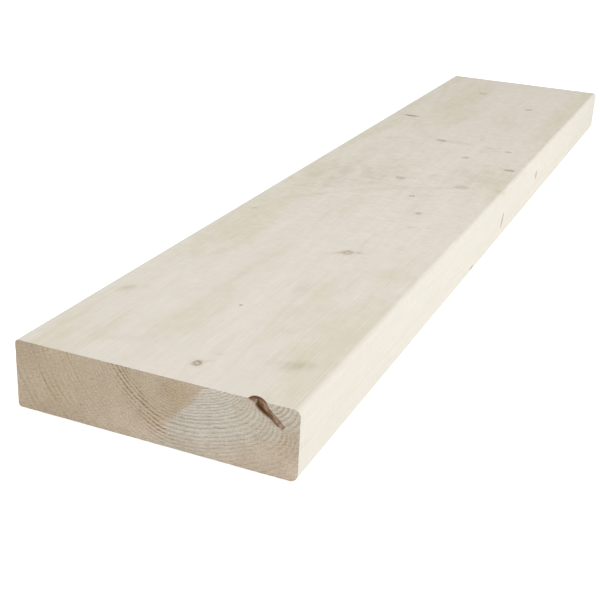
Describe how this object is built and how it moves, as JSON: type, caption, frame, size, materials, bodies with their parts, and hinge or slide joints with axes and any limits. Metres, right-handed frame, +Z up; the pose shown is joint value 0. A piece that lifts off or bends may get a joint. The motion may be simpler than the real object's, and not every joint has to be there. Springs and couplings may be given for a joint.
{
  "type": "timber plank",
  "caption": "Planed softwood plank with eased edges, square sawn ends and a small knot hollow in the top edge of one end.",
  "frame": {"origin": "middle of the broad face that the plank lies on", "axes": "+Y along the grain, away from the end with the knot hollow; +Z up through the thickness; X across the width"},
  "size_m": [0.198, 1, 0.048],
  "materials": {
    "planed_spruce": "planed, unfinished"
  },
  "bodies": {
    "root": {"plank": "planed_spruce"}
  },
  "joints": []
}
